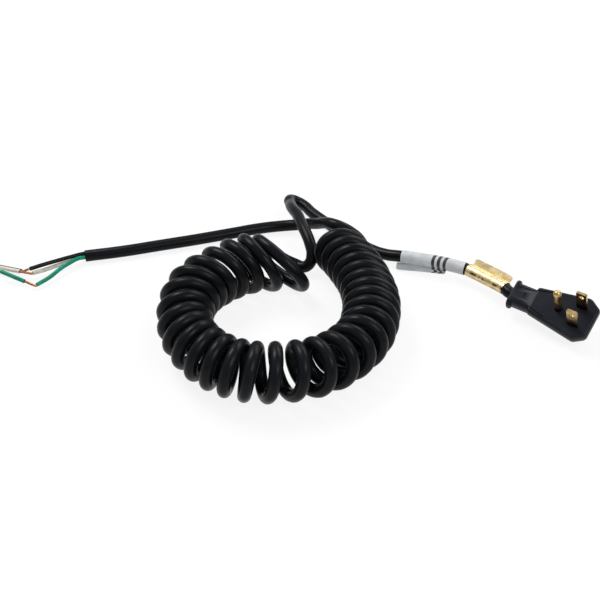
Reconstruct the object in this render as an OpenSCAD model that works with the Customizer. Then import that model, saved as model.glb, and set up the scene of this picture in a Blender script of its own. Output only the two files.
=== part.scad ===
// Shore power cord: right-angle plug, curly middle stretch, stripped far end.
// Millimetres, z up, the table is z = 0. +X runs along the plug's long side and
// the origin is on the table under the middle of the plug.

/* [Cord] */
// Outside diameter of the cord jacket
cord_d = 7.7; // [7.4:0.1:7.9]
// Outside radius of the curly stretch
coil_r = 17.5; // [17.2:0.1:17.8]
// Diameter of one insulated core
core_d = 2.7; // [2.4:0.1:2.8]
// Diameter of the bare copper of one core
copper_d = 1.6; // [1.2:0.1:1.7]
// Length of each loose insulation slug
slug_len = 18; // [15:0.5:19]

/* [Plug] */
// Thickness of the plug body
body_t = 13; // [12.6:0.1:14]
// Half width of the plug body at its widest
half_w = 14.2; // [13.6:0.1:15]
// Free length of the two blades
blade_len = 17.8; // [15.9:0.1:18.3]
// Width of a blade
blade_w = 6.35; // [6.2:0.05:6.5]
// Thickness of a blade
blade_t = 1.52; // [1.4:0.02:1.6]
// Diameter of the round earth pin
pin_d = 4.8; // [4.7:0.01:4.82]
// Free length of the round earth pin
pin_len = 21; // [20:0.1:22]

/* [Which piece] */
// Piece to show

/* [Hidden] */

// Fits
slip = 0.1;          // play round a piece held by the moulding
bore_play = 0.05;    // radial play of copper in a bore

// Plug layout, in the plug's own axes: blades point to +z, face at z = 0
roll = 27;           // the plug lies rolled by this much about x
chamfer = 1.5;
far_x = 10;
flange_x = -42.5;
pitch = 12.7;        // between the two blades
pin_x = -11.9;       // earth pin from the blades' centre line
cord_z = -5.2;       // depth of the cord's centre line under the face
barrel_z = -6.2;     // depth of the crimp barrels under the face
draft = 3;            // how far the back is drawn in on each side
full_z = -5;         // the body has its full width above this depth
root_z = -8;
shank_z = 0.3;       // where the earth pin's full shank begins
slit_depth = 0.45;
inner_x = -30;       // where the jacket ends inside the plug
neck_w = 7.5;
flange_w = 9.3;
neck_t = 9.8;        // thickness of the neck and the flange

// Plug placed so that its bounding box is centred on the origin
y_high = (half_w - draft) * cos(roll) + body_t * sin(roll);
y_low = -(pitch / 2 + blade_t / 2) * cos(roll) - blade_len * sin(roll);
face_x = -(far_x + flange_x) / 2;
face_y = -(y_high + y_low) / 2;
face_z = (half_w - draft) * sin(roll) + body_t * cos(roll);

function plug_pt(p) = [
    face_x + p[0],
    face_y + p[1] * cos(roll) - p[2] * sin(roll),
    face_z + p[1] * sin(roll) + p[2] * cos(roll)
];

module posed() {
    translate([face_x, face_y, face_z]) rotate([roll, 0, 0]) children();
}

module box(x, y, z) {
    translate([x[0], y[0], z[0]]) cube([x[1] - x[0], y[1] - y[0], z[1] - z[0]]);
}

module rod(x0, x1, y, z, d) {
    translate([x0, y, z]) rotate([0, 90, 0]) cylinder(h = x1 - x0, d = d, $fn = 36);
}

// ---- sweeps ----
function unit(v) = v / norm(v);
function last(a) = a[len(a) - 1];
function lift(p) = [p[0], p[1], max(0, p[2])];
function heads(p, h0, h1) = [
    for (i = [0:len(p) - 1])
        i == 0 ? unit(h0)
        : i == len(p) - 1 ? unit(h1)
        : unit(unit(p[i] - p[i - 1]) + unit(p[i + 1] - p[i]))
];
function circ(d, n) = [
    for (k = [0:n - 1]) [d / 2 * cos(360 * k / n), d / 2 * sin(360 * k / n)]
];
function ring(c, h, prof) =
    let (s = unit(cross(h, [0, 0, 1])), u = cross(s, h))
    [for (q = prof) lift(c + s * q[0] + u * q[1])];
function rings(p, hs, prof) = [
    for (i = [0:len(p) - 1]) each ring(p[i], hs[i], prof)
];
function skin(m, n, o, flip) = [
    for (i = [0:m - 2])
        for (j = [0:n - 1])
            let (a = o + i * n + j, b = o + i * n + (j + 1) % n, c = b + n, d = a + n)
                each flip ? [[a, c, b], [a, d, c]] : [[a, b, c], [a, c, d]]
];
function caps(m, n) = [
    for (j = [1:n - 2]) each [[0, j + 1, j], [(m - 1) * n, (m - 1) * n + j, (m - 1) * n + j + 1]]
];
function rims(m, n) = [
    for (j = [0:n - 1])
        let (k = (j + 1) % n, i0 = m * n, e = (m - 1) * n, f = m * n + (m - 1) * n)
            each [
                [j, i0 + j, i0 + k],
                [j, i0 + k, k],
                [e + j, f + k, f + j],
                [e + j, e + k, f + k]
            ]
];

module swept(p, hs, prof) {
    m = len(p);
    n = len(prof);
    polyhedron(rings(p, hs, prof), concat(skin(m, n, 0, false), caps(m, n)), 10);
}

module sleeve(p, hs, outer, inner) {
    m = len(p);
    n = len(outer);
    polyhedron(
        concat(rings(p, hs, outer), rings(p, hs, inner)),
        concat(skin(m, n, 0, false), skin(m, n, m * n, true), rims(m, n)),
        10
    );
}

// ---- curly stretch: one unbroken helical tube ----
// Rows every 3 turns: centre x, y, turn of the loop, lean of the loop, its size
coil_rows = [
    [-142, -53, -45, 54, 1.6], [-171.5, -81, -27, 17, 1.18], [-179, -115, -22, 10, 1.14],
    [-164.5, -143, -21, 7, 1], [-137, -156, -16, 2, 1], [-108, -151, -6, 3, 1],
    [-82, -126, -18, 6, 1], [-75, -95, -20, 5, 1], [-84, -69, -1, 8, 1],
    [-100, -50, 15, 10, 1], [-122, -35, 17, 13, 1], [-146, -24, 24, 20, 1]
];
turn_first = -1.25;
turn_last = 29.5;
per_turn = 8;
coil_mid_r = coil_r - cord_d / 2;
// the lowest points are cut flat by a tenth of the cord
coil_drop = cord_d / 10;
row_count = len(coil_rows);
function row(i) =
    i < 0 ? 2 * coil_rows[0] - coil_rows[1]
    : i >= row_count ? 2 * coil_rows[row_count - 1] - coil_rows[row_count - 2]
    : coil_rows[i];
function helix(t) =
    let (
        g = (t + 2) / 3,
        i = min(row_count - 2, max(0, floor(g))),
        u = g - i,
        a = row(i - 1),
        b = row(i),
        c = row(i + 1),
        d = row(i + 2),
        v = 0.5 * (2 * b + (c - a) * u + (2 * a - 5 * b + 4 * c - d) * u * u
            + (3 * b - a - 3 * c + d) * u * u * u),
        w = 0.5 * ((c - a) + 2 * (2 * a - 5 * b + 4 * c - d) * u
            + 3 * (3 * b - a - 3 * c + d) * u * u),
        along = unit([w[0], w[1]]),
        across = [along[1], -along[0]],
        axis = across * cos(v[2]) - along * sin(v[2]),
        reach = coil_mid_r * v[4],
        off = -reach * sin(360 * t),
        up = reach * cos(360 * t),
        mid_z = reach + cord_d / 2 - coil_drop,
        q = [v[0], v[1]] + axis * off + along * sin(v[3]) * up
    )
    [
        [q[0], q[1], mid_z + up * cos(v[3]) - reach * (1 - cos(v[3]))],
        [v[0], v[1], mid_z]
    ];
coil_steps = (turn_last - turn_first) * per_turn;
coil_pts = [for (k = [0:coil_steps]) helix(turn_first + k / per_turn)];
coil_mid = [for (c = coil_pts) c[0]];
coil_h0 = unit(helix(turn_first + 0.02)[0] - helix(turn_first)[0]);
coil_h1 = unit(helix(turn_last)[0] - helix(turn_last - 0.02)[0]);
coil_in = coil_mid[0] - cord_d * coil_h0;
coil_out = coil_mid[coil_steps] + cord_d * coil_h1;
coil_line = concat([coil_in], coil_mid, [coil_out]);
coil_axis = concat([coil_pts[0][1]], [for (c = coil_pts) c[1]], [coil_pts[coil_steps][1]]);
function coil_head(i) =
    i <= 1 ? coil_h0
    : i >= coil_steps + 1 ? coil_h1
    : unit(coil_line[i + 1] - coil_line[i - 1]);
function coil_ref(i) =
    i == 0 ? coil_line[1] - coil_axis[1]
    : i == coil_steps + 2 ? coil_line[coil_steps + 1] - coil_axis[coil_steps + 1]
    : coil_line[i] - coil_axis[i];
function coil_ring(i) =
    let (
        h = coil_head(i),
        r0 = coil_ref(i),
        s = unit(r0 - (r0 * h) * h),
        u = cross(s, h)
    )
    [for (q = circ(cord_d, 6)) lift(coil_line[i] + s * q[0] + u * q[1])];
coil_rings = [for (i = [0:coil_steps + 2]) coil_ring(i)];
coil_gap = min([
    for (i = [1:coil_steps + 1 - per_turn - 1])
        for (k = [per_turn - 1:per_turn + 1])
            for (a = coil_rings[i])
                for (b = coil_rings[i + k]) norm(a - b)
]);
echo(str("coil least gap to itself, mm, measured on the points: ", coil_gap));

// ---- routes of the free stretches ----
seam = 0.05;
cord_prof = circ(cord_d, 10);
tail_route = [
    coil_in - seam * coil_h0,
    [-158, -44.5, 4.5],
    [-151.5, -43.5, 4.6],
    [-148.8, -41, 7.2],
    [-149.8, -37, 11.5],
    [-154.7, -32.5, 15.5],
    [-162, -27, 18],
    [-170, -21, 18.5],
    [-178, -14, 18],
    [-186.5, -7.5, 16],
    [-192.5, -2, 13.5],
    [-198, 4, 10.7],
    [-201.8, 9.8, 8],
    [-202.6, 14.3, 5.9],
    [-199.3, 16.2, 4.6],
    [-193, 14.8, 4],
    [-185.5, 12, 3.9],
    [-174, 8.5, 3.9],
    [-161, 5.5, 3.9],
    [-145, 2, 3.9],
    [-128, -1.5, 4.3],
    [-115, -2.5, 6],
    [-104, -0.6, 8],
    [-94, 2.5, 8.5],
    [-84, 5.6, 9],
    [-74, 8, 9.4],
    [-62.5, 9.6, 10],
    [-60.5, 9.6, 10.1],
    [-46, 7, 11],
    [-33, 4.2, 11.8],
    plug_pt([flange_x - 1.5, 0, cord_z]),
    plug_pt([inner_x, 0, cord_z])
];
tail_heads = heads(tail_route, -coil_h0, [1, 0, 0]);
label_from = 22;
label_flag_to = 25;
label_to = 26;
foil_from = 27;
foil_to = 29;
function part_of(a, i, j) = [for (k = [i:j]) a[k]];

lead_route = [
    coil_out + seam * coil_h1,
    [-123, -18, 6.5],
    [-125, -13, 11],
    [-130, -11, 16],
    [-136, -12, 20],
    [-143, -13.5, 22.5],
    [-150, -14, 22.5],
    [-157, -12, 19.5],
    [-164, -10, 15],
    [-172, -8, 10.5],
    [-181, -9, 6.5],
    [-191, -14, 4.3],
    [-202, -25, 3.9],
    [-214, -41, 3.9],
    [-229, -61, 3.9],
    [-244, -80, 3.9],
    [-259, -99, 3.9],
    [-275, -117, 3.9]
];
lead_end = last(lead_route);
lead_dir = unit(lead_end - lead_route[len(lead_route) - 2]);
lead_side = unit(cross(lead_dir, [0, 0, 1]));
lead_heads = heads(lead_route, coil_h1, lead_dir);
// where the three cores sit in the jacket: along the side and up
core_at = [[0, 1.6], [1.5, -0.95], [-1.5, -0.95]];
core_in = 6;
function core_pt(k, s) =
    lead_end + lead_dir * s + lead_side * core_at[k][0] + [0, 0, core_at[k][1]];
hot_route = [
    core_pt(0, -core_in), core_pt(0, 1),
    [-280.5, -125.5, 5.9], [-284.5, -134, 6.1], [-288.5, -142.5, 6.2], [-292.5, -151, 6]
];
neutral_route = [
    core_pt(1, -core_in), core_pt(1, 1),
    [-279.8, -125, 2.9], [-283.5, -133.5, 3], [-287, -143, 3], [-290, -151, 3.7]
];
ground_route = [
    core_pt(2, -core_in), core_pt(2, 1),
    [-275.5, -124, 3.2], [-277, -130, 3.5], [-278.5, -137, 3.5], [-278.5, -147, 3],
    [-280, -157, 2.5]
];
hot_slug_at = [-299, -153, 2.6];
hot_slug_dir = unit([-0.945, -0.328, 0]);
neutral_slug_at = [-297, -155.7, 4.8];
neutral_slug_dir = unit([-0.945, -0.328, 0]);
ground_slug_at = [-288.5, -159.5, 3];
ground_slug_dir = unit([-0.956, -0.234, 0.166]);
slug_hold = slug_len - 2;
function end_dir(r) = unit(last(r) - r[len(r) - 2]);
function copper(r, at, dir) = concat(
    r,
    [last(r) + 1.2 * end_dir(r), at - 1.2 * dir, at, at + slug_hold * dir]
);

// wires inside the plug, in the plug's own axes
upper_z = cord_z + 0.8;
lower_z = cord_z - 1.7;
function blade_wire(y) = [
    [inner_x - 5, y * 1.45, upper_z], [inner_x + 0.5, y * 1.45, upper_z],
    [-26, y * 2.2, upper_z - 0.5], [-21, y * 4.2, barrel_z + 0.3], [-16, y * 5.95, barrel_z],
    [-12.5, y * pitch / 2, barrel_z], [-10.2, y * pitch / 2, barrel_z]
];
earth_wire = [
    [inner_x - 5, 0, lower_z], [inner_x + 1, 0, lower_z], [-25, 0, lower_z + 0.1],
    [-22, 0, barrel_z - 0.2], [-20.8, 0, barrel_z], [-19.6, 0, barrel_z]
];
function in_plug(r) = [for (p = r) plug_pt(p)];
core_prof = circ(core_d, 8);
core_bore = circ(copper_d + 2 * bore_play, 8);
copper_prof = circ(copper_d, 8);

module core_sleeve(r, h0, h1) {
    sleeve(r, heads(r, h0, h1), core_prof, core_bore);
}

module core_copper(r, h0, h1) {
    swept(r, heads(r, h0, h1), copper_prof);
}

// ---- plug ----
function outline(w) = [
    [far_x, -7.6], [far_x, 7.6], [far_x - 1.2, w - 3.6], [far_x - 5.6, w - 0.9],
    [far_x - 7, w - 0.2], [far_x - 9, w], [far_x - 12, w - 0.4], [-28.4, 8.6],
    [-29.2, 7.2], [-29.2, -7.2],
    [-28.4, -8.6], [far_x - 12, 0.4 - w], [far_x - 9, -w], [far_x - 7, 0.2 - w],
    [far_x - 5.6, 0.9 - w], [far_x - 1.2, 3.6 - w]
];
function carrier_plan(g) = [
    [-16 - g, -8.8 - g], [-4, -10.4 - g], [4, -10.4 - g], [7 + g, -8.6 - g],
    [7 + g, 8.6 + g], [4, 10.4 + g], [-4, 10.4 + g], [-16 - g, 8.8 + g]
];
carrier_z = [-9.5, -1.2];
barrel_d = copper_d + 1.8;

module bar(x, w, z, r) {
    hull()
        for (y = [-1, 1], h = [z[0] + r, z[1] - r])
            rod(x[0], x[1], y * (w - r), h, 2 * r);
}

// depth under the face, and how far the outline is drawn in there
body_layers = [[-body_t, draft], [full_z, 0], [-chamfer, 0], [-0.1, chamfer]];
neck_z = [cord_z - neck_t / 2, cord_z + neck_t / 2];

module plug_cover() {
    color("#24272e")
    posed()
    difference() {
        union() {
            hull()
                for (l = body_layers)
                    translate([0, 0, l[0]])
                        linear_extrude(0.1) offset(delta = -l[1]) polygon(outline(half_w));
            bar([flange_x + 1, inner_x + 3], neck_w, neck_z, 3.8);
            bar([flange_x, flange_x + 2.5], flange_w, neck_z, 4.2);
        }
        // seat of the carrier
        translate([0, 0, carrier_z[0] - slip])
            linear_extrude(carrier_z[1] - carrier_z[0] + 2 * slip) polygon(carrier_plan(slip));
        // room where the cores fan out
        translate([0, 0, -9.6])
            linear_extrude(6.7)
                polygon([
                    [inner_x, -4], [-25, -5], [-20, -7.3], [-15.9, -8.2],
                    [-15.9, 8.2], [-20, 7.3], [-25, 5], [inner_x, 4]
                ]);
        rod(flange_x - 1, inner_x + slip, 0, cord_z, cord_d + 2 * slip);
        // openings for the blades and the earth pin
        for (y = [-1, 1])
            box(
                [-blade_w / 2 - slip, blade_w / 2 + slip],
                [y * pitch / 2 - blade_t / 2 - slip, y * pitch / 2 + blade_t / 2 + slip],
                [-2, 1]
            );
        translate([pin_x, 0, -2]) cylinder(h = 3, d = pin_d + 2 * slip, $fn = 48);
        // shallow slit across the neck
        box([-34.3, -33.5], [-1.9, 1.9], [neck_z[1] - slit_depth, 1]);
        // a grip groove on each side, from the neck on to the face
        for (y = [-1, 1])
            translate([-35, y * 4.2, neck_z[1] - slit_depth])
                rotate([0, 0, y * 14.7])
                    translate([0, -0.35, 0])
                        cube([18, 0.7, 1]);
    }
}

module blade_carrier() {
    color("#b9b4a6")
    posed()
    difference() {
        translate([0, 0, carrier_z[0]])
            linear_extrude(carrier_z[1] - carrier_z[0]) polygon(carrier_plan(0));
        for (y = [-1, 1]) {
            box(
                [-blade_w / 2 - slip, blade_w / 2 + slip],
                [y * pitch / 2 - blade_t / 2 - slip, y * pitch / 2 + blade_t / 2 + slip],
                [-10, 0]
            );
            box(
                [-17, -2.4],
                [y * pitch / 2 - barrel_d / 2 - slip - 0.1, y * pitch / 2 + barrel_d / 2 + slip + 0.1],
                [-10, barrel_z + barrel_d / 2 + slip]
            );
        }
        translate([pin_x, 0, -10]) cylinder(h = 10, d = pin_d + 2 * slip, $fn = 48);
        box(
            [-17, pin_x],
            [-barrel_d / 2 - slip, barrel_d / 2 + slip],
            [-10, barrel_z + barrel_d / 2 + slip]
        );
    }
}

module blade(y) {
    posed()
    difference() {
        union() {
            translate([0, y * pitch / 2 + blade_t / 2, 0])
                rotate([90, 0, 0])
                    linear_extrude(blade_t)
                        polygon([
                            [-blade_w / 2, root_z], [blade_w / 2, root_z],
                            [blade_w / 2, blade_len - 0.9], [blade_w / 2 - 0.9, blade_len],
                            [0.9 - blade_w / 2, blade_len], [-blade_w / 2, blade_len - 0.9]
                        ]);
            rod(-9.7, -2.5, y * pitch / 2, barrel_z, barrel_d);
        }
        rod(-10, -4, y * pitch / 2, barrel_z, copper_d + 2 * bore_play);
        translate([0, y * pitch / 2 + 2, blade_len - 4.1])
            rotate([90, 0, 0]) cylinder(h = 4, d = 3.2, $fn = 36);
    }
}

module line_blade() {
    color("#b9a060") blade(1);
}

module neutral_blade() {
    color("#b9a060") blade(-1);
}

module ground_pin() {
    color("#b9a060")
    posed()
    difference() {
        union() {
            // the root is a little thinner than the shank
            translate([pin_x, 0, root_z])
                cylinder(h = shank_z - root_z + 1, d = pin_d - 0.4, $fn = 48);
            translate([pin_x, 0, shank_z])
                cylinder(h = pin_len - pin_d / 2 - shank_z, d = pin_d, $fn = 48);
            translate([pin_x, 0, pin_len - pin_d / 2]) sphere(d = pin_d, $fn = 48);
            rod(-19.3, pin_x - 1, 0, barrel_z, barrel_d);
        }
        rod(-20, -14.6, 0, barrel_z, copper_d + 2 * bore_play);
    }
}

module line_wire() {
    color("#1c1c1c") core_sleeve(in_plug(blade_wire(1)), [1, 0, 0], [1, 0, 0]);
}

module neutral_wire() {
    color("#d8d4c8") core_sleeve(in_plug(blade_wire(-1)), [1, 0, 0], [1, 0, 0]);
}

module ground_wire() {
    color("#1c8060") core_sleeve(in_plug(earth_wire), [1, 0, 0], [1, 0, 0]);
}

module line_wire_end() {
    color("#b87a4a")
    core_copper(
        in_plug(concat(blade_wire(1), [[-4.2, pitch / 2, barrel_z]])), [1, 0, 0], [1, 0, 0]
    );
}

module neutral_wire_end() {
    color("#b87a4a")
    core_copper(
        in_plug(concat(blade_wire(-1), [[-4.2, -pitch / 2, barrel_z]])), [1, 0, 0], [1, 0, 0]
    );
}

module ground_wire_end() {
    color("#b87a4a")
    core_copper(in_plug(concat(earth_wire, [[-14.8, 0, barrel_z]])), [1, 0, 0], [1, 0, 0]);
}

// ---- cord ----
module core_hole(p, dir, depth) {
    a = atan2(dir[1], dir[0]);
    translate(p)
        rotate([0, 0, a])
            rotate([0, 90, 0])
                translate([0, 0, -depth])
                    cylinder(h = depth + 1, d = core_d + 2 * slip, $fn = 24);
}

module tail_jacket() {
    color("#2b2d31")
    difference() {
        swept(tail_route, tail_heads, cord_prof);
        core_hole(plug_pt([inner_x, 1.45, upper_z]), [1, 0, 0], 5.1);
        core_hole(plug_pt([inner_x, -1.45, upper_z]), [1, 0, 0], 5.1);
        core_hole(plug_pt([inner_x, 0, lower_z]), [1, 0, 0], 5.1);
    }
}

module coil_jacket() {
    color("#2b2d31")
    polyhedron(
        [for (r = coil_rings) each r],
        concat(skin(coil_steps + 3, 6, 0, false), caps(coil_steps + 3, 6)),
        10
    );
}

module lead_jacket() {
    color("#2b2d31")
    difference() {
        swept(lead_route, lead_heads, cord_prof);
        for (k = [0:2])
            core_hole(core_pt(k, 0), lead_dir, core_in + 0.1);
    }
}

module hot_insulation() {
    color("#1c1c1c") core_sleeve(hot_route, lead_dir, end_dir(hot_route));
}

module neutral_insulation() {
    color("#d8d4c8") core_sleeve(neutral_route, lead_dir, end_dir(neutral_route));
}

module ground_insulation() {
    color("#1c8060") core_sleeve(ground_route, lead_dir, end_dir(ground_route));
}

module hot_strands() {
    color("#b87a4a")
    core_copper(copper(hot_route, hot_slug_at, hot_slug_dir), lead_dir, hot_slug_dir);
}

module neutral_strands() {
    color("#b87a4a")
    core_copper(copper(neutral_route, neutral_slug_at, neutral_slug_dir), lead_dir, neutral_slug_dir);
}

module ground_strands() {
    color("#b87a4a")
    core_copper(copper(ground_route, ground_slug_at, ground_slug_dir), lead_dir, ground_slug_dir);
}

module slug(at, dir) {
    a = atan2(dir[1], dir[0]);
    b = acos(dir[2]);
    translate(at)
        rotate([0, b, a])
            difference() {
                cylinder(h = slug_len, d = core_d, $fn = 24);
                translate([0, 0, -1])
                    cylinder(h = slug_len + 2, d = copper_d + 2 * bore_play, $fn = 24);
            }
}

module hot_slug() {
    color("#1c1c1c") slug(hot_slug_at, hot_slug_dir);
}

module neutral_slug() {
    color("#d8d4c8") slug(neutral_slug_at, neutral_slug_dir);
}

module ground_slug() {
    color("#1c8060") slug(ground_slug_at, ground_slug_dir);
}

// ---- label and tag on the tail ----
wrap_in = cord_d + 0.2;
wrap_out = wrap_in + 0.6;
// the middle of a sleeve's wall, at the flats of its ten sides
wrap_mid = (wrap_in + wrap_out) / 4 * cos(18);
// each flag leaves its sleeve at this angle: 0 is level, 90 is upright
label_flag = -50;
foil_flag = 135;
function flag(a, t, u0, u1) =
    let (e = [cos(a), sin(a)], n = [-e[1], e[0]])
    [u0 * e - t * n, u1 * e - t * n, u1 * e + t * n, u0 * e + t * n];

module cable_label() {
    p = part_of(tail_route, label_from, label_to);
    h = part_of(tail_heads, label_from, label_to);
    color("#d9dadd")
    union() {
        sleeve(p, h, circ(wrap_out, 10), circ(wrap_in, 10));
        swept(
            part_of(tail_route, label_from, label_flag_to),
            part_of(tail_heads, label_from, label_flag_to),
            flag(label_flag, 0.2, wrap_mid, wrap_out / 2 + 4.3)
        );
    }
}

module foil_tag() {
    p = part_of(tail_route, foil_from, foil_to);
    h = part_of(tail_heads, foil_from, foil_to);
    color("#d8c28a")
    union() {
        sleeve(p, h, circ(wrap_out, 10), circ(wrap_in, 10));
        swept(p, h, flag(foil_flag, 0.15, wrap_mid, wrap_out / 2 + 4.6));
    }
}

plug_cover();
blade_carrier();
line_blade();
neutral_blade();
ground_pin();
line_wire();
neutral_wire();
ground_wire();
line_wire_end();
neutral_wire_end();
ground_wire_end();
tail_jacket();
coil_jacket();
lead_jacket();
hot_insulation();
neutral_insulation();
ground_insulation();
hot_strands();
neutral_strands();
ground_strands();
hot_slug();
neutral_slug();
ground_slug();
cable_label();
foil_tag();
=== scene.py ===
# %% [markdown]
# # A shore power cord, from plug to stripped end
# The real object is a three-core mains cord. A flat right-angle plug sits at one
# end, a long middle stretch was wound hot on a rod so that it springs back into a
# curly coil, and the far end is stripped for wiring to a terminal block. The
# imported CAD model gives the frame: every piece below is made in metres, in the
# same axes, and lies where the CAD solids lie.

# %% Load the fixed frame
import math

import bmesh
import bpy
from mathutils import Matrix, Vector


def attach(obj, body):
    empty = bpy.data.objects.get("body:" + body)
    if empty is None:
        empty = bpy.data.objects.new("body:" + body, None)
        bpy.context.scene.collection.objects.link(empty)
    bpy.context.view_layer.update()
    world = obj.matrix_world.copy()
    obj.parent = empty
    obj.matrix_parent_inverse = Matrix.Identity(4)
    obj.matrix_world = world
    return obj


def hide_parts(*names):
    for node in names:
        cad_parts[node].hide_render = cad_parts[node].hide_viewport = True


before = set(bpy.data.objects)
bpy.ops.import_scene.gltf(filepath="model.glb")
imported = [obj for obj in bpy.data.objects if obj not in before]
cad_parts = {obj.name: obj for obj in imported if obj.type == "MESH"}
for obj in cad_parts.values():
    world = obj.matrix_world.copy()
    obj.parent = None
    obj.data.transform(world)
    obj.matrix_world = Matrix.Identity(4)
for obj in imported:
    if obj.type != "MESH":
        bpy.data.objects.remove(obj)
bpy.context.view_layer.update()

# %% [markdown]
# ## Camera
# The viewer stands at the near side, a little to the right, and looks down at the
# table by about forty degrees. The lens is mildly long, so the coil keeps its
# round look. The camera comes first because the cord is laid out for it.

# %% Camera
def link_object(name, data):
    """Make an object of a camera, light, curve or mesh, and put it in the scene."""
    made = bpy.data.objects.new(name, data)
    bpy.context.scene.collection.objects.link(made)
    return made


camera_data = bpy.data.cameras.new("Camera")
camera_data.lens = 56.5
camera_data.sensor_width = 36
camera_data.clip_start = 0.01
camera = link_object("Camera", camera_data)
camera.location = (0.1333, -0.4400, 0.3749)
camera.rotation_euler = (math.radians(50.8), 0, math.radians(36))
bpy.context.scene.camera = camera
print("camera at", tuple(round(v, 3) for v in camera.location))

# %% [markdown]
# ## Sizes
# The cord is a three-core 7.7 mm jacket. The plug has household blades 12.7 mm
# apart. It lies rolled by 27 degrees, so all its pieces are made in its own axes,
# with the blades pointing to +Z, and one matrix carries them to the table. Sizes
# that are multiplied by MM are in metres, and the others are in millimetres.

# %% Sizes and the plug's own axes
MM = 0.001
CORD_WIDTH = 7.7
CORD = CORD_WIDTH * MM
CORE = 2.7 * MM
SLUG_LENGTH = 18 * MM
BLADE_PITCH, BLADE_THICKNESS, BLADE_LENGTH = 12.7, 1.52, 17.8
BODY_THICKNESS = 13
BODY_HALF_WIDTH = 14.2
BACK_HALF_WIDTH = BODY_HALF_WIDTH - 3
BODY_END = 10
FLANGE_END = -42.5
CORD_DEPTH = -5.2
PLUG_MIDDLE = -(BODY_END + FLANGE_END) / 2
PLUG_ROLL = math.radians(27)

# how far the rolled plug reaches on the near and the far side of its face's middle,
# and how high that middle then is above the table
slope, rise = math.cos(PLUG_ROLL), math.sin(PLUG_ROLL)
plug_near = -(BLADE_PITCH + BLADE_THICKNESS) / 2 * slope - BLADE_LENGTH * rise
plug_far = BACK_HALF_WIDTH * slope + BODY_THICKNESS * rise
plug_lift = BACK_HALF_WIDTH * rise + BODY_THICKNESS * slope
PLUG_POSE = (
    Matrix.Translation((PLUG_MIDDLE * MM, -(plug_far + plug_near) / 2 * MM, plug_lift * MM))
    @ Matrix.Rotation(PLUG_ROLL, 4, "X")
    @ Matrix.Scale(MM, 4)
)


def point(x, y, z):
    """A point of the table frame, given in millimetres."""
    return Vector((x, y, z)) * MM


def on_plug(x, y, z):
    """A point of the plug's own axes, in millimetres, carried to the table."""
    return PLUG_POSE @ Vector((x, y, z))


print("plug lies from", on_plug(FLANGE_END, 0, 0), "to", on_plug(BODY_END, 0, 0))

# %% [markdown]
# ## The line of the cord
# One smooth line runs through the whole cord. The curly stretch is a helix wound
# round a curved axis: the rows below say, every three turns, where the middle of
# the loop is, how the loop is turned about the vertical, how far it leans, and its
# size, because the loops nearest the hairpin have been pulled open.
# The free stretches follow listed points, as a wire would be bent. One
# curve is used rather than many pieces because the real jacket has no joint.

# %% Rows of the curly stretch
COIL_RADIUS = 17.5
FIRST_TURN, LAST_TURN = -1.25, 29.5
POINTS_PER_TURN = 12
LOOP_RADIUS = COIL_RADIUS - CORD_WIDTH / 2
FIRST_ROW, TURNS_PER_ROW = -2, 3
# middle x, middle y, turn of the loop, lean of the loop, size of the loop
COIL_ROWS = [
    Vector(row)
    for row in (
        (-142, -53, -45, 54, 1.6), (-171.5, -81, -27, 17, 1.18), (-179, -115, -22, 10, 1.14),
        (-164.5, -143, -21, 7, 1), (-137, -156, -16, 2, 1), (-108, -151, -6, 3, 1),
        (-82, -126, -18, 6, 1), (-75, -95, -20, 5, 1), (-84, -69, -1, 8, 1),
        (-100, -50, 15, 10, 1), (-122, -35, 17, 13, 1), (-146, -24, 24, 20, 1),
    )
]


def between(a, b, c, d, u):
    """A value from b to c on a Catmull-Rom curve, and how it changes with u."""
    first, second, third = c - a, 2 * a - 5 * b + 4 * c - d, 3 * b - a - 3 * c + d
    value = 0.5 * (2 * b + first * u + second * u * u + third * u**3)
    change = 0.5 * (first + 2 * second * u + 3 * third * u * u)
    return value, change


def row_at(turn):
    """The row's values at a turn, and how they change there."""
    before, after = 2 * COIL_ROWS[0] - COIL_ROWS[1], 2 * COIL_ROWS[-1] - COIL_ROWS[-2]
    rows = [before, *COIL_ROWS, after]
    place = (turn - FIRST_ROW) / TURNS_PER_ROW
    i = min(len(COIL_ROWS) - 2, max(0, math.floor(place)))
    return between(*rows[i : i + 4], place - i)


def helix(turn):
    """A point of the curly stretch, in millimetres."""
    row, change = row_at(turn)
    along = Vector((change[0], change[1], 0)).normalized()
    across = Vector((along.y, -along.x, 0))
    yaw, lean = math.radians(row[2]), math.radians(row[3])
    axis = across * math.cos(yaw) - along * math.sin(yaw)
    reach = LOOP_RADIUS * row[4]
    sideways = -reach * math.sin(turn * math.tau)
    up = reach * math.cos(turn * math.tau)
    spot = Vector((row[0], row[1], reach + CORD_WIDTH / 2)) + axis * sideways
    spot += along * (math.sin(lean) * up)
    spot.z += up * math.cos(lean) - reach * (1 - math.cos(lean))
    return spot


def run_off(turn, inward):
    """A point one cord's width past an end of the coil, straight on from it."""
    return helix(turn) + (helix(turn) - helix(turn + inward)).normalized() * CORD_WIDTH


steps = round((LAST_TURN - FIRST_TURN) * POINTS_PER_TURN)
coil_line = [helix(FIRST_TURN + k / POINTS_PER_TURN) for k in range(steps + 1)]
coil_in = run_off(FIRST_TURN, 0.02)
coil_out = run_off(LAST_TURN, -0.02)
# lifted a little, because the smooth curve swings below its points here
EXIT_LIFT = 1.0
coil_out.z += EXIT_LIFT
print("curls:", LAST_TURN - FIRST_TURN, "points:", len(coil_line))
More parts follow.
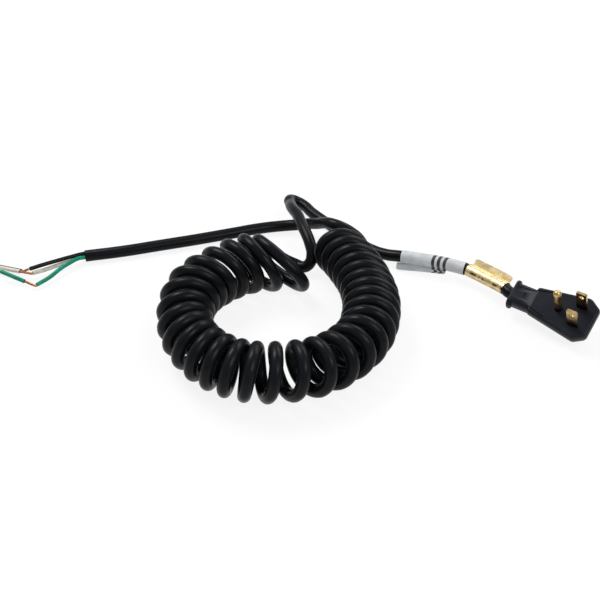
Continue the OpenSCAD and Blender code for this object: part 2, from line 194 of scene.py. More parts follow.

# %% Free stretches, from listed points
TAIL = [
    (-158, -44.5, 4.5), (-151.5, -43.5, 4.6), (-148.8, -41, 7.2), (-149.8, -37, 11.5),
    (-154.7, -32.5, 15.5), (-162, -27, 18), (-170, -21, 18.5), (-178, -14, 18),
    (-186.5, -7.5, 16), (-192.5, -2, 13.5), (-197.6, 4.2, 10.2), (-202.1, 9, 8.8),
    (-202.6, 13.4, 6.6), (-198.9, 16.2, 4.3), (-192.4, 15, 4), (-185.5, 12, 3.9),
    (-174, 8.5, 3.9), (-161, 5.5, 3.9), (-145, 2, 3.9), (-128, -1.5, 4.3),
    (-115, -2.5, 6), (-104, -0.6, 8), (-94, 2.5, 8.5), (-84, 5.6, 9),
    (-74, 8, 9.4), (-62.5, 9.6, 10), (-60.5, 9.6, 10.1), (-46, 7, 11),
    (-33, 4.2, 11.8),
]
LEAD = [
    (-123, -18, 6.5), (-125, -13, 11), (-130, -11, 16), (-136, -12, 20),
    (-143, -13.5, 22.5), (-150, -14, 22.5), (-157, -12, 19.5), (-164, -10, 15),
    (-172, -8, 10.5), (-181, -9, 6.5), (-191, -14, 4.3), (-202, -25, 3.9),
    (-214, -41, 3.9), (-229, -61, 3.9), (-244, -80, 3.9), (-259, -99, 3.9),
    (-276, -118.2, 3.9),
]
tail_line = [point(*p) for p in TAIL]
INSIDE_PLUG = -30
past_flange = on_plug(FLANGE_END - 1.5, 0, CORD_DEPTH)
jacket_line = [
    on_plug(INSIDE_PLUG, 0, CORD_DEPTH),
    past_flange,
    *reversed(tail_line),
    *[p * MM for p in (coil_in, *coil_line, coil_out)],
    *[point(*p) for p in LEAD],
]


def curve_through(name, line, diameter, resolution, roundness=6):
    """A round cord: one open smooth curve with a bevel.

    The bevel is one metre deep and each knot scales it down to the cord's own
    radius, because Blender's box for a curve adds the knots' radius to its line.
    """
    data = bpy.data.curves.new(name, "CURVE")
    data.dimensions = "3D"
    data.resolution_u = resolution
    data.bevel_depth = 1.0
    data.bevel_resolution = roundness
    data.use_fill_caps = True
    spline = data.splines.new("BEZIER")
    spline.bezier_points.add(len(line) - 1)
    for knot, spot in zip(spline.bezier_points, line):
        knot.co = spot
        knot.radius = diameter / 2
        knot.handle_left_type = knot.handle_right_type = "AUTO"
    return link_object(name, data)


def length_of(line):
    """Length of a chain of points, from point to point."""
    return sum((b - a).length for a, b in zip(line, line[1:]))


jacket = curve_through("jacket", jacket_line, CORD, resolution=6, roundness=7)
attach(jacket, "cord")
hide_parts("tail_jacket", "coil_jacket", "lead_jacket")
print("straight-line length of the jacket's points, m:", round(length_of(jacket_line), 3))

# %% [markdown]
# ## The three cores
# At the stripped end three insulated cores spread from the jacket, then comes bare
# twisted copper, and on its tip the cut piece of each insulation, pushed along and
# left there. Each core is a small cord of its own, because it bends as one.

# %% Cores at the stripped end
jacket_end = point(*LEAD[-1])
end_way = (point(*LEAD[-1]) - point(*LEAD[-2])).normalized()
end_side = end_way.cross(Vector((0, 0, 1))).normalized()


def in_jacket(side, up, depth):
    """A point in or past the jacket's end: aside and up in mm, along the cord in m."""
    return jacket_end + end_way * depth + end_side * side * MM + Vector((0, 0, up * MM))


CORE_STARTS, CORE_LEAVES = -6 * MM, 1 * MM


def core_line(side, up, points):
    """A core from inside the jacket to its stripped end."""
    start = [in_jacket(side, up, CORE_STARTS), in_jacket(side, up, CORE_LEAVES)]
    return start + [point(*p) for p in points]


CORES = {
    "hot": {
        "line": core_line(0.8, 1.5, [
            (-280.5, -125.5, 5.9), (-284.5, -134, 6.1), (-288.5, -142.5, 6.2),
            (-292.5, -151, 6),
        ]),
        "slug_at": point(-299, -153, 2.6),
        "slug_way": Vector((-0.945, -0.328, 0)).normalized(),
        "slot": "black_core",
    },
    "neutral": {
        "line": core_line(1.0, -1.3, [
            (-279.8, -125, 2.9), (-283.5, -133.5, 3), (-287, -143, 3), (-290, -151, 3.7),
        ]),
        "slug_at": point(-297, -155.7, 4.8),
        "slug_way": Vector((-0.945, -0.328, 0)).normalized(),
        "slot": "white_core",
    },
    "ground": {
        "line": core_line(-1.8, 0.2, [
            (-276.6, -124, 5), (-277.6, -130, 4.9), (-278.6, -137, 4.3), (-278.6, -147, 3.2),
            (-280, -157, 2.5),
        ]),
        "slug_at": point(-288.5, -159.5, 3),
        "slug_way": Vector((-0.956, -0.234, 0.166)).normalized(),
        "slot": "green_core",
    },
}
for name, core in CORES.items():
    core["piece"] = curve_through(f"{name}_core", core["line"], CORE, resolution=8)
    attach(core["piece"], "cord")
    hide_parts(f"{name}_insulation")
    print(name, "core length, m:", round(length_of(core["line"]), 4))

# %% [markdown]
# ## Short ways to add a node
# A material is a small graph. Every node in it is made, set and linked in the same
# way, so a few short helpers do that, and the steps below can be read as sums.

# %% Node helpers
def feed(tree, socket, value):
    """Link an output to a socket, or set the socket to a number or a colour."""
    if isinstance(value, (int, float)):
        socket.default_value = value
    elif isinstance(value, tuple):
        socket.default_value = (*value, 1)
    else:
        tree.links.new(value, socket)


def noise_node(tree, coordinate, scale, detail=2.0, roughness=0.5):
    """Soft noise between 0 and 1."""
    made = tree.nodes.new("ShaderNodeTexNoise")
    made.inputs["Detail"].default_value = detail
    made.inputs["Roughness"].default_value = roughness
    feed(tree, made.inputs["Vector"], coordinate)
    feed(tree, made.inputs["Scale"], scale)
    return made.outputs["Fac"]


def math_node(tree, operation, a, b=None):
    """One step of arithmetic on one or two values."""
    made = tree.nodes.new("ShaderNodeMath")
    made.operation = operation
    feed(tree, made.inputs[0], a)
    if b is not None:
        feed(tree, made.inputs[1], b)
    return made.outputs[0]


def range_node(tree, value, low, high, to_low, to_high):
    """Carry low..high smoothly to to_low..to_high, and hold the ends."""
    made = tree.nodes.new("ShaderNodeMapRange")
    made.interpolation_type = "SMOOTHSTEP"
    for title, x in (
        ("Value", value), ("From Min", low), ("From Max", high),
        ("To Min", to_low), ("To Max", to_high),
    ):
        feed(tree, made.inputs[title], x)
    return made.outputs["Result"]


def mix_colour(tree, factor, a, b):
    """Colour a where the factor is 0 and colour b where it is 1."""
    made = tree.nodes.new("ShaderNodeMix")
    made.data_type = "RGBA"
    feed(tree, made.inputs["Factor"], factor)
    feed(tree, made.inputs[6], a)
    feed(tree, made.inputs[7], b)
    return made.outputs[2]


def object_place(tree):
    """Where a point lies in the piece's own axes, which are the table's."""
    return tree.nodes.new("ShaderNodeTexCoord").outputs["Object"]


NODE_HELPERS = (feed, noise_node, math_node, range_node, mix_colour, object_place)
print("node helpers:", [helper.__name__ for helper in NODE_HELPERS])

# %% [markdown]
# ## Floor and light
# A plain white table under three broad soft lights. Black vinyl shows its form
# only in the pale reflections that run along it, so the lights are wide and set
# high on both sides and behind. To the camera and to reflections the floor glows
# almost white, and wholly white further out; what is left of its plain paint keeps
# a faint contact shadow, so that the cord is seen to lie on it.

# %% Floor
def seen_as_white(tree):
    """1 where a camera, mirror or glass ray looks, 0 for light that bounces."""
    rays = tree.nodes.new("ShaderNodeLightPath").outputs
    seen = math_node(tree, "MAXIMUM", rays["Is Camera Ray"], rays["Is Glossy Ray"])
    return math_node(tree, "MAXIMUM", seen, rays["Is Transmission Ray"])


def mix_shaders(tree, factor, first, second):
    """The first shader where the factor is 0 and the second where it is 1."""
    made = tree.nodes.new("ShaderNodeMixShader")
    feed(tree, made.inputs["Fac"], factor)
    tree.links.new(first.outputs[0], made.inputs[1])
    tree.links.new(second.outputs[0], made.inputs[2])
    return made.outputs[0]


FLOOR_REACH = 6
# a hair under the table's plane, so that it never cuts into the cord
FLOOR_DROP = 0.3 * MM
GLOW_NEAR, GLOW_FAR = 0.86, 1.0
FADE_FROM, FADE_TO = 0.35, 1.1

floor_mesh = bpy.data.meshes.new("floor")
quarters = ((-1, -1), (1, -1), (1, 1), (-1, 1))
corners = [(x * FLOOR_REACH, y * FLOOR_REACH, 0) for x, y in quarters]
floor_mesh.from_pydata(corners, [], [(0, 1, 2, 3)])
floor = link_object("floor", floor_mesh)
floor.location.z = -FLOOR_DROP

floor_paint = bpy.data.materials.new("white table")
floor_paint.use_nodes = True
tree = floor_paint.node_tree
tree.nodes.clear()
plain = tree.nodes.new("ShaderNodeBsdfDiffuse")
plain.inputs["Color"].default_value = (0.85, 0.85, 0.85, 1)
glow = tree.nodes.new("ShaderNodeEmission")
glow.inputs["Strength"].default_value = 1.0
distance = tree.nodes.new("ShaderNodeVectorMath")
distance.operation = "LENGTH"
feed(tree, distance.inputs[0], tree.nodes.new("ShaderNodeNewGeometry").outputs["Position"])
fade = range_node(tree, distance.outputs["Value"], FADE_FROM, FADE_TO, GLOW_NEAR, GLOW_FAR)
share = math_node(tree, "MULTIPLY", seen_as_white(tree), fade)
out = tree.nodes.new("ShaderNodeOutputMaterial")
tree.links.new(mix_shaders(tree, share, plain, glow), out.inputs["Surface"])
floor_mesh.materials.append(floor_paint)
print("floor lies", FLOOR_DROP, "m under the cord")

# %% World
world = bpy.data.worlds.new("studio")
bpy.context.scene.world = world
world.use_nodes = True
tree = world.node_tree
tree.nodes.clear()
soft = tree.nodes.new("ShaderNodeBackground")
soft.inputs["Color"].default_value = (0.93, 0.96, 1.0, 1)
soft.inputs["Strength"].default_value = 0.45
white = tree.nodes.new("ShaderNodeBackground")
white.inputs["Color"].default_value = (1, 1, 1, 1)
camera_only = tree.nodes.new("ShaderNodeLightPath").outputs["Is Camera Ray"]
out = tree.nodes.new("ShaderNodeOutputWorld")
tree.links.new(mix_shaders(tree, camera_only, soft, white), out.inputs["Surface"])
print("world light:", soft.inputs["Strength"].default_value)

# %% Lights
def area_light(name, place, aim, size, power):
    """A soft rectangular lamp, aimed at a point. Size in metres, power in watts."""
    data = bpy.data.lights.new(name, "AREA")
    data.shape = "RECTANGLE"
    data.size, data.size_y = size
    data.energy = power
    lamp = link_object(name, data)
    lamp.location = place
    lamp.rotation_euler = (Vector(aim) - Vector(place)).to_track_quat("-Z", "Y").to_euler()


COIL_MIDDLE = (-0.12, -0.06, 0)
area_light("key light", (-0.85, 0.0, 1.0), COIL_MIDDLE, (0.55, 0.55), 11)
area_light("fill light", (0.75, -0.25, 0.9), COIL_MIDDLE, (0.6, 0.5), 6)
area_light("back light", (-0.1, 0.95, 0.8), COIL_MIDDLE, (1.0, 0.35), 6)

scene = bpy.context.scene
scene.view_settings.view_transform = "Standard"

# %% [markdown]
# ## Effects that the finishes share
# Three small node groups carry what several materials need: a fine moulded grain,
# a gloss that handling has made uneven, and a colour that is cloudy and a little
# dusty. Each is built once and gets its own values in each material.

# %% Node groups
def new_group(name, inputs, outputs):
    """An empty node group with named sockets, and its input and output nodes."""
    group = bpy.data.node_groups.new(name, "ShaderNodeTree")
    for title, kind, value in inputs:
        socket = group.interface.new_socket(title, in_out="INPUT", socket_type=kind)
        socket.default_value = value
    for title, kind in outputs:
        group.interface.new_socket(title, in_out="OUTPUT", socket_type=kind)
    return group, group.nodes.new("NodeGroupInput"), group.nodes.new("NodeGroupOutput")


# fine grain: a height that a Bump node turns into tiny dimples
grain, given, gives = new_group(
    "Moulded Grain",
    [("Scale", "NodeSocketFloat", 900.0), ("Waviness", "NodeSocketFloat", 0.3)],
    [("Height", "NodeSocketFloat")],
)
where = object_place(grain)
dimples = noise_node(grain, where, given.outputs["Scale"], 3, 0.6)
swell = math_node(grain, "MULTIPLY", noise_node(grain, where, 90), given.outputs["Waviness"])
feed(grain, gives.inputs["Height"], math_node(grain, "ADD", dimples, swell))

# uneven gloss: soft patches that handling has left smoother or duller
gloss, given, gives = new_group(
    "Handled Gloss",
    [
        ("Shiny", "NodeSocketFloat", 0.3),
        ("Dull", "NodeSocketFloat", 0.5),
        ("Scale", "NodeSocketFloat", 60.0),
    ],
    [("Roughness", "NodeSocketFloat")],
)
patches = noise_node(gloss, object_place(gloss), given.outputs["Scale"], 4, 0.55)
shiny_to_dull = (given.outputs["Shiny"], given.outputs["Dull"])
feed(gloss, gives.inputs["Roughness"], range_node(gloss, patches, 0.3, 0.7, *shiny_to_dull))

# cloudy colour: slow clouds between two colours and a few pale specks of dust
cloudy, given, gives = new_group(
    "Cloudy Colour",
    [
        ("Colour", "NodeSocketColor", (0.5, 0.5, 0.5, 1)),
        ("Aged", "NodeSocketColor", (0.4, 0.4, 0.4, 1)),
        ("Dust", "NodeSocketColor", (0.6, 0.58, 0.55, 1)),
        ("Scale", "NodeSocketFloat", 50.0),
        ("Dust Amount", "NodeSocketFloat", 0.2),
    ],
    [("Colour", "NodeSocketColor")],
)
where = object_place(cloudy)
clouds = noise_node(cloudy, where, given.outputs["Scale"], 4, 0.6)
drift = range_node(cloudy, clouds, 0.35, 0.65, 0.0, 1.0)
aged = mix_colour(cloudy, drift, given.outputs["Colour"], given.outputs["Aged"])
specks = range_node(cloudy, noise_node(cloudy, where, 1500, 2, 0.7), 0.66, 0.78, 0.0, 1.0)
dusty = math_node(cloudy, "MULTIPLY", specks, given.outputs["Dust Amount"])
feed(cloudy, gives.inputs["Colour"], mix_colour(cloudy, dusty, aged, given.outputs["Dust"]))
print("groups:", [g.name for g in bpy.data.node_groups])

# %% [markdown]
# ## Finishes
# Vinyl for the cord and the plug is almost black, with a sheen that comes from a
# middling roughness. Metal is brass on the blades and soft copper on the wires.
# Each finish takes its colour, gloss and grain from the three groups, so what
# differs between them is only numbers. The two plain numbers in each are the scale
# of its grain and the grain's height in metres.

# %% A helper that builds one finish
BUMP_STRENGTH = 0.6
DUST = (0.16, 0.155, 0.15)


def group_node(tree, group, **values):
    """Place a shared group, and set its inputs by their names."""
    made = tree.nodes.new("ShaderNodeGroup")
    made.node_tree = group
    for title, value in values.items():
        feed(tree, made.inputs[title.replace("_", " ")], value)
    return made.outputs[0]


def finish(
    name, colour, aged, gloss_range, grain_scale, grain_height,
    dust=0.0, metal=0.0, cloud_scale=50.0, gloss_scale=60.0, waviness=0.3, specular=0.5,
):
    """A Principled material fed by the shared groups. Colours are linear RGB."""
    made = bpy.data.materials.new(name)
    made.use_nodes = True
    tree = made.node_tree
    paint = group_node(
        tree, cloudy, Colour=colour, Aged=aged, Dust=DUST, Scale=cloud_scale, Dust_Amount=dust
    )
    shiny, dull = gloss_range
    sheen = group_node(tree, gloss, Shiny=shiny, Dull=dull, Scale=gloss_scale)
    surface = group_node(tree, grain, Scale=grain_scale, Waviness=waviness)
    bump = tree.nodes.new("ShaderNodeBump")
    bump.inputs["Strength"].default_value = BUMP_STRENGTH
    bump.inputs["Distance"].default_value = grain_height
    feed(tree, bump.inputs["Height"], surface)
    shader = tree.nodes["Principled BSDF"].inputs
    feed(tree, shader["Base Color"], paint)
    feed(tree, shader["Roughness"], sheen)
    feed(tree, shader["Normal"], bump.outputs["Normal"])
    shader["Metallic"].default_value = metal
    shader["Specular IOR Level"].default_value = specular
    return made


print("a finish is made from:", [group.name for group in (cloudy, gloss, grain)])

# %% The finishes
FOIL_METAL = 0.6
FINISHES = {
    "cord_jacket": finish(
        "cord vinyl", (0.0035, 0.004, 0.0052), (0.0055, 0.006, 0.0075), (0.26, 0.38),
        700, 0.00004, dust=0.1, waviness=1.2, specular=0.1,
    ),
    "plug_plastic": finish(
        "plug vinyl", (0.006, 0.0067, 0.011), (0.0095, 0.0105, 0.0165), (0.34, 0.46),
        1300, 0.00004, dust=0.15, specular=0.15,
    ),
    "carrier_plastic": finish(
        "carrier plastic", (0.6, 0.58, 0.5), (0.52, 0.5, 0.44), (0.4, 0.55),
        900, 0.00003,
    ),
    "blade_metal": finish(
        "aged brass", (0.66, 0.48, 0.21), (0.45, 0.31, 0.13), (0.26, 0.36),
        500, 0.000004, metal=1.0, cloud_scale=140, gloss_scale=250,
    ),
    "copper": finish(
        "bare copper", (0.62, 0.27, 0.14), (0.36, 0.14, 0.07), (0.25, 0.45),
        900, 0.00002, metal=1.0, cloud_scale=600,
    ),
    "black_core": finish(
        "black core vinyl", (0.004, 0.004, 0.005), (0.007, 0.007, 0.008), (0.28, 0.42),
        900, 0.00003, dust=0.1, specular=0.12,
    ),
    "white_core": finish(
        "white core vinyl", (0.62, 0.58, 0.49), (0.5, 0.46, 0.38), (0.32, 0.48),
        900, 0.00003, cloud_scale=250, specular=0.3,
    ),
    "green_core": finish(
        "green core vinyl", (0.0, 0.24, 0.145), (0.0, 0.17, 0.1), (0.28, 0.42),
        900, 0.00003, cloud_scale=200, specular=0.22,
    ),
    "foil": finish(
        "gold foil", (0.8, 0.64, 0.35), (0.6, 0.45, 0.2), (0.24, 0.38),
        260, 0.00003, metal=FOIL_METAL, cloud_scale=220, waviness=1.0,
    ),
    "label_film": finish(
        "label film", (0.49, 0.51, 0.515), (0.4, 0.41, 0.42), (0.38, 0.5),
        500, 0.00004, cloud_scale=120, waviness=1.0,
    ),
}
print("finishes:", sorted(FINISHES))


def dress(piece, slot_name):
    """Give a piece the finish of a slot, and no other."""
    piece.data.materials.clear()
    piece.data.materials.append(FINISHES[slot_name])


dress(jacket, "cord_jacket")
for core in CORES.values():
    dress(core["piece"], core["slot"])

# %% [markdown]
# ## The plug
# The cover is one soft moulding: a flat body that widens towards its blades, a
# neck, and a finger flange that the cord goes into. The body is lofted from one
# outline at several depths. It is drawn in towards the back, as a moulding has to
# be, and rolled over at the rims, which catches the light. A slit across the neck
# and a groove along each side are cut out of it.

# %% Outlines, lofts and pieces
LEAST_RADIUS = 0.25


def rounded(corners, radii, drawn_in=0.0, steps=6):
    """A closed outline, drawn in evenly, with each corner replaced by an arc."""
    made = []
    count = len(corners)
    for k, corner in enumerate(corners):
        here = Vector(corner)
        before = (Vector(corners[k - 1]) - here).normalized()
        after = (Vector(corners[(k + 1) % count]) - here).normalized()
        half = before.angle(after) / 2
        here = here + (before + after).normalized() * drawn_in / math.sin(half)
        cut = max(radii[k] - drawn_in, LEAST_RADIUS) / math.tan(half)
        start, end = here + before * cut, here + after * cut
        for s in range(steps + 1):
            u = s / steps
            made.append((1 - u) ** 2 * start + 2 * u * (1 - u) * here + u * u * end)
    return made


def loft(bm, rings, place=Vector):
    """Skin a list of closed rings of equal count and close both ends."""
    made = [[bm.verts.new(place(p)) for p in ring] for ring in rings]
    count = len(made[0])
    for low, high in zip(made, made[1:]):
        for k in range(count):
            bm.faces.new((low[k], low[(k + 1) % count], high[(k + 1) % count], high[k]))
    bm.faces.new(reversed(made[0]))
    bm.faces.new(made[-1])


def crease_at(piece, degrees):
    """Keep edges sharper than this crisp, and shade the rest smooth."""
    crease = piece.modifiers.new("Crease", "EDGE_SPLIT")
    crease.split_angle = math.radians(degrees)


def mesh_object(name, bm, body, slot_name):
    """Turn a bmesh into a smooth, dressed piece that rides on a body."""
    bmesh.ops.recalc_face_normals(bm, faces=bm.faces)
    for face in bm.faces:
        face.smooth = True
    data = bpy.data.meshes.new(name)
    bm.to_mesh(data)
    bm.free()
    made = link_object(name, data)
    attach(made, body)
    dress(made, slot_name)
    return made


print("corners are never sharper than", LEAST_RADIUS, "mm")

# %% Sections of the cover
# depth below the face, and how far the outline is drawn in there
BODY_SECTIONS = [
    (-13, 4.4), (-13, 4.0), (-12.87, 3.5), (-12.5, 3.1), (-11.8, 2.68), (-10.5, 2.1),
    (-8, 1.12), (-5.6, 0.24), (-4.6, 0), (-2.4, 0), (-1.6, 0.12), (-0.95, 0.38),
    (-0.45, 0.75), (-0.12, 1.2), (0, 1.7), (0, 2.1),
]
BODY_START, START_HALF_WIDTH, END_HALF_WIDTH = -29.2, 8.9, 9.6
# the sharp corner at the widest place stands out a little, for its arc to round off
WIDEST_AT, WIDEST = 2.6, BODY_HALF_WIDTH + 0.4
BODY_CORNERS = [
    (BODY_END, -END_HALF_WIDTH), (BODY_END, END_HALF_WIDTH), (WIDEST_AT, WIDEST),
    (BODY_START, START_HALF_WIDTH), (BODY_START, -START_HALF_WIDTH), (WIDEST_AT, -WIDEST),
]
BODY_RADII = (2.6, 2.6, 4.5, 2.4, 2.4, 4.5)
NECK_HALF_HEIGHT = 4.9
NECK_TOP, NECK_BOTTOM = CORD_DEPTH + NECK_HALF_HEIGHT, CORD_DEPTH - NECK_HALF_HEIGHT
NECK_FROM, NECK_TO, NECK_HALF_WIDTH = -41.5, -27, 7.5
FLANGE_THICKNESS, FLANGE_HALF_WIDTH = 2.5, 9.3


def bar_sections(x_from, x_to, half_width, corner, roll_in):
    """Sections of a bar along the plug, rolled in at both of its ends."""
    square = [
        (-half_width, NECK_BOTTOM), (half_width, NECK_BOTTOM),
        (half_width, NECK_TOP), (-half_width, NECK_TOP),
    ]
    made = []
    # from the middle of the end face, out to its rim and over a quarter circle
    for share in (1.4, 1, 0.62, 0.29, 0.08, 0):
        past = 0 if share > 1 else roll_in * (1 - math.sqrt(max(0, 1 - (1 - share) ** 2)))
        made.append((x_from + past, roll_in * share))
    made += [(x_to - (x - x_from), pull) for x, pull in reversed(made)]
    return [
        [(x, p.x, p.y) for p in rounded(square, (corner,) * 4, pull)] for x, pull in made
    ]


def in_place(p):
    """Carry a point given as one value from the plug's axes to the table."""
    return on_plug(*p)


print("plug cover:", len(BODY_SECTIONS), "sections of", len(BODY_CORNERS), "corners")

# %% Loft the cover
shell = bmesh.new()
body = [
    [(p.x, p.y, depth) for p in rounded(BODY_CORNERS, BODY_RADII, pull)]
    for depth, pull in BODY_SECTIONS
]
loft(shell, body, in_place)
neck = bar_sections(NECK_FROM, NECK_TO, NECK_HALF_WIDTH, corner=3.8, roll_in=0.3)
loft(shell, neck, in_place)
flange_to = FLANGE_END + FLANGE_THICKNESS
flange = bar_sections(FLANGE_END, flange_to, FLANGE_HALF_WIDTH, corner=4.3, roll_in=0.8)
loft(shell, flange, in_place)
plug_shell = mesh_object("plug_shell", shell, "cord", "plug_plastic")
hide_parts("plug_cover")
print("plug cover faces before the cuts:", len(plug_shell.data.polygons))

# %% Cut the slit and the grooves
def box_in_plug(bm, low, high, turn=0.0, about=(0, 0)):
    """A small block in the plug's axes, turned about a point of its face."""
    spin = Matrix.Translation((*about, 0)) @ Matrix.Rotation(turn, 4, "Z")
    low, high = Vector(low), Vector(high)
    block = bmesh.ops.create_cube(bm, size=1)["verts"]
    for v in block:
        inside = Vector([low[i] + (high[i] - low[i]) * (v.co[i] + 0.5) for i in range(3)])
        v.co = PLUG_POSE @ (spin @ inside)


CUT_FLOOR, CUT_TOP = NECK_TOP - 0.45, 1
SLIT_FROM, SLIT_TO, SLIT_HALF_LENGTH = -34.3, -33.5, 1.9
GROOVE_LENGTH, GROOVE_HALF_WIDTH, GROOVE_TURN = 18, 0.35, math.radians(14.7)
GROOVE_START, GROOVE_ASIDE = -35, 4.2
cuts = bmesh.new()
box_in_plug(
    cuts, (SLIT_FROM, -SLIT_HALF_LENGTH, CUT_FLOOR), (SLIT_TO, SLIT_HALF_LENGTH, CUT_TOP)
)
for way in (-1, 1):
    box_in_plug(
        cuts, (0, -GROOVE_HALF_WIDTH, CUT_FLOOR), (GROOVE_LENGTH, GROOVE_HALF_WIDTH, CUT_TOP),
        way * GROOVE_TURN, (GROOVE_START, way * GROOVE_ASIDE),
    )
cut_data = bpy.data.meshes.new("cuts")
cuts.to_mesh(cut_data)
cuts.free()
cutter = link_object("cuts", cut_data)
carve = plug_shell.modifiers.new("Carve", "BOOLEAN")
carve.object, carve.solver, carve.use_self = cutter, "EXACT", True
bpy.context.view_layer.update()
carved = bpy.data.meshes.new_from_object(
    plug_shell.evaluated_get(bpy.context.evaluated_depsgraph_get())
)
plug_shell.modifiers.remove(carve)
plug_shell.data = carved
bpy.data.objects.remove(cutter)

crease_at(plug_shell, 48)
print("plug shell faces:", len(plug_shell.data.polygons))

# %% [markdown]
# ## Bare copper
# Each core's conductor is a bundle of fine wires with a gentle lay. Six thin tubes
# wind round a seventh and run on with it into the loose slug. A bump map would not
# show the lay in outline, so the wires are real.

# %% Tubes along a line
FINE_STEPS = 24


def sample(line, spacing):
    """Points at an even spacing on a smooth curve through the line."""
    dense = []
    ends = [line[0], *line, line[-1]]
    for four in zip(ends, ends[1:], ends[2:], ends[3:]):
        dense += [between(*four, s / FINE_STEPS)[0] for s in range(FINE_STEPS)]
    dense.append(line[-1])
    made, left = [dense[0]], spacing
    for a, b in zip(dense, dense[1:]):
        gap = (b - a).length
        while gap > left:
            a = a + (b - a).normalized() * left
            made.append(a)
            gap -= left
            left = spacing
        left -= gap
    made.append(dense[-1])
    return made


def headings(line):
    """Which way the line runs at each of its points."""
    ends = [line[0], *line, line[-1]]
    return [(after - before).normalized() for before, after in zip(ends, ends[2:])]


def frames_along(line):
    """Heading, side and up at each point, carried along without twist."""
    made = []
    up = Vector((0, 0, 1))
    for heading in headings(line):
        up = (up - heading * up.dot(heading)).normalized()
        made.append((heading, heading.cross(up), up))
    return made


def out_from(spot, side, up, angle, radius):
    """A point at a radius from the spot, in the plane of side and up."""
    return spot + (side * math.cos(angle) + up * math.sin(angle)) * radius


def ring_round(spot, side, up, radius, sides):
    """A ring of evenly spaced points round the spot."""
    return [out_from(spot, side, up, j * math.tau / sides, radius) for j in range(sides)]


def tube(bm, line, radius, sides, turn_per_metre=0.0, off=0.0, phase=0.0):
    """A closed tube along the line, or wound round it at a distance."""
    rings = []
    travelled = 0.0
    for k, (spot, (_, side, up)) in enumerate(zip(line, frames_along(line))):
        travelled += (spot - line[k - 1]).length if k else 0
        angle = phase + travelled * turn_per_metre * math.tau
        rings.append(ring_round(out_from(spot, side, up, angle, off), side, up, radius, sides))
    loft(bm, rings)


print("cores with bare ends:", list(CORES))

# %% The twisted strands of each core
WIRE = 0.27 * MM
WIRE_SIDES = 6
WOUND_WIRES = 6
TURNS_PER_METRE = 90
WOUND_AT = 0.53 * MM
STEP_ALONG = 0.35 * MM
# the copper starts inside its core, bends a little way off and ends inside the slug
INSIDE_CORE, BEND_OFF, SHORT_OF_TIP = 4 * MM, 1.2 * MM, 2 * MM
for name, core in CORES.items():
    strip = core["line"][-1]
    leave = (strip - core["line"][-2]).normalized()
    at, way = core["slug_at"], core["slug_way"]
    bends = [
        strip - leave * INSIDE_CORE, strip, strip + leave * BEND_OFF,
        at - way * BEND_OFF, at, at + way * (SLUG_LENGTH - SHORT_OF_TIP),
    ]
    bare = sample(bends, STEP_ALONG)
    bundle = bmesh.new()
    tube(bundle, bare, WIRE, WIRE_SIDES)
    for k in range(WOUND_WIRES):
        phase = k * math.tau / WOUND_WIRES
        tube(bundle, bare, WIRE, WIRE_SIDES, TURNS_PER_METRE, WOUND_AT, phase)
    core["copper"] = mesh_object(f"{name}_copper", bundle, "cord", "copper")
    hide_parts(f"{name}_strands")
    print(name, "copper from", tuple(round(v, 3) for v in bare[0]))

# %% [markdown]
# ## Loose slugs
# A slug is a short length of insulation, cut square by the stripper, whose blade
# leaves the rim a little soft. It is turned from a small profile, because a tube
# with a soft rim is easiest to describe by its half section.

# %% Slugs of insulation
def turned(bm, profile, start, way, sides=28):
    """Turn a closed half section, given as (along, radius), about an axis."""
    side = way.cross(Vector((0, 0, 1))).normalized()
    up = side.cross(way)
    rings = [
        [bm.verts.new(p) for p in ring_round(start + way * along, side, up, radius, sides)]
        for along, radius in profile
    ]
    for low, high in zip(rings, [*rings[1:], rings[0]]):
        for j in range(sides):
            k = (j + 1) % sides
            bm.faces.new((low[j], low[k], high[k], high[j]))


outer, bore, soft_rim = CORE / 2, 0.9 * MM, 0.12 * MM
bulge = 0.3 * soft_rim
slug_profile = [
    (soft_rim, outer), (SLUG_LENGTH - soft_rim, outer),
    (SLUG_LENGTH - bulge, outer - bulge),
    (SLUG_LENGTH, outer - soft_rim), (SLUG_LENGTH, bore + soft_rim),
    (SLUG_LENGTH - soft_rim, bore), (soft_rim, bore), (0, bore + soft_rim),
    (0, outer - soft_rim), (bulge, outer - bulge),
]
for name, core in CORES.items():
    slug = bmesh.new()
    turned(slug, slug_profile, core["slug_at"], core["slug_way"])
    piece = mesh_object(f"{name}_loose_slug", slug, f"{name}_end", core["slot"])
    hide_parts(f"{name}_slug")
    crease_at(piece, 50)
    print(name, "slug rides on", f"{name}_end")

# %% [markdown]
# ## Label and foil tag
# Two wraps sit on the cord near the plug. The white one is a film label with a
# flag that hangs to the near side; it stays plain but for three dark bands. The
# gold one is a foil tag whose flag leans up and away. Each is a thin sleeve round
# the cord's own line, so that it follows the bend, with a flag grown from it.
# Both carry a map, so that bands and streaks can be placed on them: u runs along
# the cord, v runs from 0 to 1 round the sleeve and from 2 to 3 up the flag.

# %% The line that the wraps follow
def upright_frames(line):
    """Heading, side and up at each point, with the side kept level."""
    made = []
    for heading in headings(line):
        side = heading.cross(Vector((0, 0, 1))).normalized()
        made.append((heading, side, side.cross(heading)))
    return made


tail_smooth = sample([*tail_line, past_flange], 1.0 * MM)
tail_frames = upright_frames(tail_smooth)
LAST_RUN_POINTS = 90


def stretch(x_from, x_to):
    """Numbers of the points between two x values, in mm, on the tail's last run."""
    last_run = range(len(tail_smooth) - LAST_RUN_POINTS, len(tail_smooth))
    return [k for k in last_run if x_from * MM <= tail_smooth[k].x <= x_to * MM]


print("points on the tail:", len(tail_smooth))

# %% Faces that carry a map
def mapped_face(bm, uv, corners, marks):
    """A face with a place on the map for each of its corners."""
    made = bm.faces.new(corners)
    for loop, mark in zip(made.loops, marks):
        loop[uv].uv = mark


